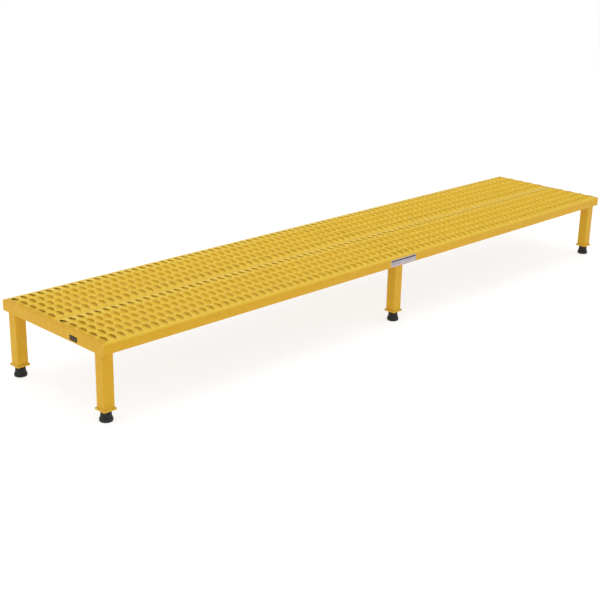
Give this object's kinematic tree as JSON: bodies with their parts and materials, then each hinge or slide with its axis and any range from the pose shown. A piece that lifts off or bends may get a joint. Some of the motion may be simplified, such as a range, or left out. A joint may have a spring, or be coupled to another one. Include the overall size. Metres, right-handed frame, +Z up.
{
  "type": "work platform bench",
  "caption": "Long low work platform bench with a serrated diamond-grating deck on height-adjustable legs with rubber feet.",
  "frame": {"origin": "on the floor under the middle of the deck", "axes": "+X along the bench, -Y is the front with the long label, +Z up"},
  "size_m": [3.0483, 0.6099, 0.3048],
  "materials": {
    "powder_coat": "satin yellow powder coat on formed and welded steel",
    "zinc_plate": "bright zinc-plated steel",
    "plastic": "black moulded nylon",
    "rubber": "matt black moulded rubber",
    "rail_label": "pale vinyl sticker with a dark band",
    "end_label": "black vinyl sticker with pale lines"
  },
  "bodies": {
    "deck": {"plank_front": "powder_coat", "plank_back": "powder_coat", "end_rail_left": "powder_coat", "end_rail_right": "powder_coat", "cross_bar_left": "powder_coat", "cross_bar_centre": "powder_coat", "cross_bar_right": "powder_coat", "leg_tube_front_left": "powder_coat", "leg_collar_front_left": "powder_coat", "lock_nut_front_left": "powder_coat", "leg_tube_back_left": "powder_coat", "leg_collar_back_left": "powder_coat", "lock_nut_back_left": "powder_coat", "leg_tube_front_centre": "powder_coat", "leg_collar_front_centre": "powder_coat", "lock_nut_front_centre": "powder_coat", "leg_tube_back_centre": "powder_coat", "leg_collar_back_centre": "powder_coat", "lock_nut_back_centre": "powder_coat", "leg_tube_front_right": "powder_coat", "leg_collar_front_right": "powder_coat", "lock_nut_front_right": "powder_coat", "leg_tube_back_right": "powder_coat", "leg_collar_back_right": "powder_coat", "lock_nut_back_right": "powder_coat", "rail_label": "rail_label", "end_label": "end_label"},
    "leg_front_left": {"inner_leg_front_left": "zinc_plate", "leg_guide_front_left": "plastic", "rubber_foot_front_left": "rubber"},
    "screw_front_left": {"lock_screw_front_left": "zinc_plate"},
    "leg_back_left": {"inner_leg_back_left": "zinc_plate", "leg_guide_back_left": "plastic", "rubber_foot_back_left": "rubber"},
    "screw_back_left": {"lock_screw_back_left": "zinc_plate"},
    "leg_front_centre": {"inner_leg_front_centre": "zinc_plate", "leg_guide_front_centre": "plastic", "rubber_foot_front_centre": "rubber"},
    "screw_front_centre": {"lock_screw_front_centre": "zinc_plate"},
    "leg_back_centre": {"inner_leg_back_centre": "zinc_plate", "leg_guide_back_centre": "plastic", "rubber_foot_back_centre": "rubber"},
    "screw_back_centre": {"lock_screw_back_centre": "zinc_plate"},
    "leg_front_right": {"inner_leg_front_right": "zinc_plate", "leg_guide_front_right": "plastic", "rubber_foot_front_right": "rubber"},
    "screw_front_right": {"lock_screw_front_right": "zinc_plate"},
    "leg_back_right": {"inner_leg_back_right": "zinc_plate", "leg_guide_back_right": "plastic", "rubber_foot_back_right": "rubber"},
    "screw_back_right": {"lock_screw_back_right": "zinc_plate"}
  },
  "joints": [
    {"name": "leg_slide_front_left", "type": "slide", "parent": "deck", "child": "leg_front_left", "axis": [0, 0, -1], "range_m": [0, 0.127]},
    {"name": "screw_turn_front_left", "type": "hinge", "parent": "deck", "child": "screw_front_left", "pos_m": [-1.49178, -0.24035, 0.076], "axis": [0, 1, 0], "range_deg": [0, 1080]},
    {"name": "leg_slide_back_left", "type": "slide", "parent": "deck", "child": "leg_back_left", "axis": [0, 0, -1], "range_m": [0, 0.127]},
    {"name": "screw_turn_back_left", "type": "hinge", "parent": "deck", "child": "screw_back_left", "pos_m": [-1.49178, 0.2908, 0.076], "axis": [0, 1, 0], "range_deg": [0, 1080]},
    {"name": "leg_slide_front_centre", "type": "slide", "parent": "deck", "child": "leg_front_centre", "axis": [0, 0, -1], "range_m": [0, 0.127]},
    {"name": "screw_turn_front_centre", "type": "hinge", "parent": "deck", "child": "screw_front_centre", "pos_m": [0, -0.24035, 0.076], "axis": [0, 1, 0], "range_deg": [0, 1080]},
    {"name": "leg_slide_back_centre", "type": "slide", "parent": "deck", "child": "leg_back_centre", "axis": [0, 0, -1], "range_m": [0, 0.127]},
    {"name": "screw_turn_back_centre", "type": "hinge", "parent": "deck", "child": "screw_back_centre", "pos_m": [0, 0.2908, 0.076], "axis": [0, 1, 0], "range_deg": [0, 1080]},
    {"name": "leg_slide_front_right", "type": "slide", "parent": "deck", "child": "leg_front_right", "axis": [0, 0, -1], "range_m": [0, 0.127]},
    {"name": "screw_turn_front_right", "type": "hinge", "parent": "deck", "child": "screw_front_right", "pos_m": [1.49178, -0.24035, 0.076], "axis": [0, 1, 0], "range_deg": [0, 1080]},
    {"name": "leg_slide_back_right", "type": "slide", "parent": "deck", "child": "leg_back_right", "axis": [0, 0, -1], "range_m": [0, 0.127]},
    {"name": "screw_turn_back_right", "type": "hinge", "parent": "deck", "child": "screw_back_right", "pos_m": [1.49178, 0.2908, 0.076], "axis": [0, 1, 0], "range_deg": [0, 1080]}
  ]
}
